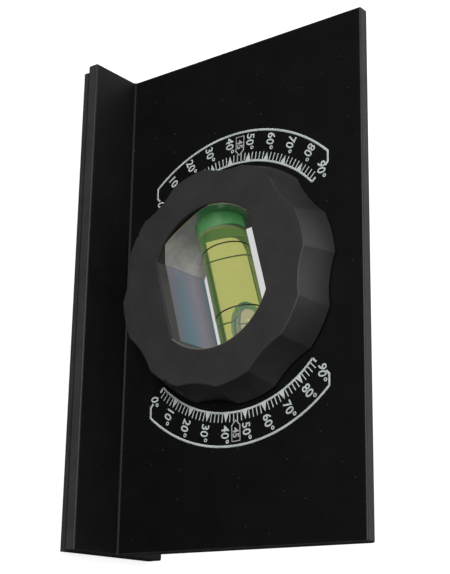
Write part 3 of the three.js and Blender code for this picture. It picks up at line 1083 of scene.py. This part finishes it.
def scale_labels(side):
    """The numbers of one scale. They read along the radius, but those at the ends stand upright."""
    join = bmesh.new()
    for tens in range(10):
        turn = SCALE_START + math.radians(10 * tens)
        mesh = label(f"{10 * tens}°", DIGIT_HEIGHT)
        digits = label(f"{10 * tens}", DIGIT_HEIGHT)
        x0, x1, y0, y1 = span(digits)
        bpy.data.meshes.remove(digits)
        upright = {0: FIRST_LABEL, 9: LAST_LABEL}.get(tens)
        if upright:
            move(mesh, side * upright[0] - (x0 + x1) / 2, upright[1] - (y0 + y1) / 2)
        else:
            start = x0 if side > 0 else span(mesh)[1]
            move(mesh, -start, -(y0 + y1) / 2)
            mesh.transform(Matrix.Rotation(turn * side, 4, "Z"))
            move(mesh, side * LABEL_INNER * math.cos(turn), LABEL_INNER * math.sin(turn))
        join.from_mesh(mesh)
        bpy.data.meshes.remove(mesh)
    made = bpy.data.meshes.new("labels")
    join.to_mesh(made)
    join.free()
    return made


def scale_border(side):
    """An arc round the numbers. Its ends turn in level and then slope towards the scale's middle."""
    low, high = SCALE_LIFT - FRAME_HALF_TURN, SCALE_LIFT + FRAME_HALF_TURN
    ends = []
    for turn, bend in ((low, 1), (high, -1)):
        x, y = FRAME_RADIUS * math.cos(turn) - FRAME_TURN_IN, FRAME_RADIUS * math.sin(turn)
        ends.append([(side * (x - FRAME_CORNER), y + bend * FRAME_CORNER), (side * x, y)])
    return ends[0] + arc(FRAME_RADIUS, low, high, side, 60) + ends[1][::-1]


def scale_tag(name, side, lines):
    """The small 45 in a tag that points at the scale: its outline and its text."""
    text = label("45", DIGIT_HEIGHT * TAG_TEXT_SHARE)
    x0, x1, y0, y1 = span(text)
    move(text, side * TAG_TEXT_SHIFT - (x0 + x1) / 2, -(y0 + y1) / 2)
    reach, height = TAG_LENGTH / 2, TAG_HEIGHT / 2
    shoulder = height - reach
    outline = [(-reach, 0), (shoulder, height), (reach, height), (reach, -height), (shoulder, -height)]
    tag_path = path("tag", [(side * x, y) for x, y in outline], closed=True)
    tag = grow(f"{name}_scale_tag", tag_path, lines, Width=0.25 * mm, Material=DIM_INK)
    for mesh in (text, tag.data):
        mesh.transform(Matrix.Rotation(SCALE_LIFT * side, 4, "Z"))
        move(mesh, side * TAG_MIDDLE * math.cos(SCALE_LIFT), TAG_MIDDLE * math.sin(SCALE_LIFT))
    return [tag, new_object(f"{name}_scale_half", text, DIM_INK)]


def printed_scales():
    lines, marks = printed_line_tree(), graduations_tree()
    for name, side in (("left", -1), ("right", 1)):
        nothing = bpy.data.meshes.new("marks")
        base = path("base", arc(SCALE_RADIUS, SCALE_START, SCALE_END, side, 72))
        border = path("border", scale_border(side))
        pieces = [
            grow(f"{name}_scale_marks", nothing, marks, Side=float(side), Material=SCALE_INK),
            grow(f"{name}_scale_base", base, lines, Width=0.43 * mm, Material=SCALE_INK),
            grow(f"{name}_scale_border", border, lines, Width=0.45 * mm, Material=SCALE_INK),
            new_object(f"{name}_scale_numbers", scale_labels(side), SCALE_INK),
            *scale_tag(name, side, lines),
        ]
        for piece in pieces:
            piece.data.transform(print_place @ Matrix.Translation((0, 0, INK / 2)))
            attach(piece, "base")


# Carried over solids.

def finish_nodes():
    for node, material in (("magnet_strip", MAGNET), ("spring_washer", SPRING_STEEL)):
        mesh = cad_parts[node].data
        mesh.materials.clear()
        mesh.materials.append(material)


# Setting: floor, light and camera.

def white_floor():
    """A pale floor with a painted shadow close behind the object, which the camera sees only through the
    window. Rays that the vial bends see painted light on it that fades with distance."""
    material = bpy.data.materials.new("pale_floor")
    tree = blank_tree(material)
    spot = add(tree, "ShaderNodeTexCoord").outputs["Object"]

    def distance_from(x, y):
        node = add(tree, "ShaderNodeVectorMath", {"operation": "DISTANCE"})
        feed(node.inputs[0], spot)
        feed(node.inputs[1], (x, y, 0.0))
        return out(node, "Value")

    seen = add(tree, "ShaderNodeLightPath")
    by_camera, bent = out(seen, "Is Camera Ray"), out(seen, "Is Transmission Ray")
    # The dimmer patch centred here is a painted shadow.
    painted_shadow_centre = (-15 * mm, 39 * mm)
    outside_painted_shadow = soft_step(distance_from(*painted_shadow_centre), start=24 * mm, width=30 * mm)
    far_off = soft_step(distance_from(0.0, 0.0), start=130 * mm, width=60 * mm)
    for_camera = between(outside_painted_shadow, 0.8, 1.6)
    # For bent rays the floor shows painted light near the object, fading far off.
    for_bent = between(far_off, 0.55, 0.02)
    strength = between(bent, for_camera, for_bent)
    plain = add(tree, "ShaderNodeEmission", Color=(1, 1, 1, 1), Strength=strength)
    shown = between(by_camera, 0.1, 0.9)
    grey = add(tree, "ShaderNodeCombineColor", Red=shown, Green=shown, Blue=shown)
    lit = add(tree, "ShaderNodeBsdfDiffuse", Color=grey.outputs[0])
    share_of_plain = by_camera.at_least(bent) * (bent * 0.42 + 0.53)
    mix = add(tree, "ShaderNodeMixShader")
    for socket, value in zip(mix.inputs, (share_of_plain, lit.outputs[0], plain.outputs[0])):
        feed(socket, value)
    add(tree, "ShaderNodeOutputMaterial", Surface=mix.outputs[0])

    def build(work):
        just_under = Matrix.Translation((0, 0, -0.05 * mm))
        bmesh.ops.create_grid(work, x_segments=1, y_segments=1, size=3, matrix=just_under)
    floor = built_piece("floor", build, material)


def lamp(name, turn, rise, distance, size, power):
    """A square lamp that looks at the object, a turn to the right of the front and a rise up, in degrees."""
    aim = Vector((0, 0, 30 * mm))
    turn, rise = math.radians(turn), math.radians(rise)
    away = Vector((math.cos(rise) * math.sin(turn), -math.cos(rise) * math.cos(turn), math.sin(rise)))
    light = bpy.data.lights.new(name, "AREA")
    light.size = size
    light.energy = power
    holder = new_object(name, light)
    facing = away.to_track_quat("Z", "Y").to_matrix().to_4x4()
    holder.matrix_world = Matrix.Translation(aim + distance * away) @ facing


def studio():
    """A soft lamp in front and weaker ones overhead and behind. The surround is dim, but looks white."""
    world = bpy.data.worlds.new("studio")
    bpy.context.scene.world = world
    tree = blank_tree(world)
    by_camera = out(add(tree, "ShaderNodeLightPath"), "Is Camera Ray")
    back = add(tree, "ShaderNodeBackground", Color=(1, 1, 1, 1), Strength=between(by_camera, 0.06, 1.0))
    add(tree, "ShaderNodeOutputWorld", Surface=back.outputs[0])
    lamp("key", turn=-12, rise=24, distance=0.62, size=0.3, power=3.4)
    lamp("top", turn=0, rise=68, distance=0.6, size=0.45, power=0.4)
    lamp("rear", turn=-142, rise=62, distance=0.6, size=0.6, power=2.1)


def photo_camera():
    """The camera's place and direction at the photograph's view, where the picture's up is -X."""
    place = Vector((71.417, -188.46, 177.474)) * mm
    right = Vector((-0.01639, 0.61606, 0.78753))
    up = Vector((-0.95825, -0.23455, 0.16354))
    back = Vector((0.28546, -0.75197, 0.59418))
    focal_pixels = 1296.35
    picture_height = 574
    camera = bpy.data.cameras.new("photo_view")
    camera.sensor_fit = "VERTICAL"
    camera.sensor_height = 36
    camera.lens = camera.sensor_height * focal_pixels / picture_height
    camera.clip_start = 0.01
    camera.clip_end = 20
    holder = new_object("photo_view", camera)
    holder.matrix_world = Matrix.Translation(place) @ Matrix((right, up, back)).transposed().to_4x4()
    bpy.context.scene.camera = holder


tee_body()
dial_mouldings()
hub_screws()
spirit_vial()
printed_scales()
finish_nodes()
white_floor()
studio()
photo_camera()

bpy.context.scene.view_settings.view_transform = "Standard"
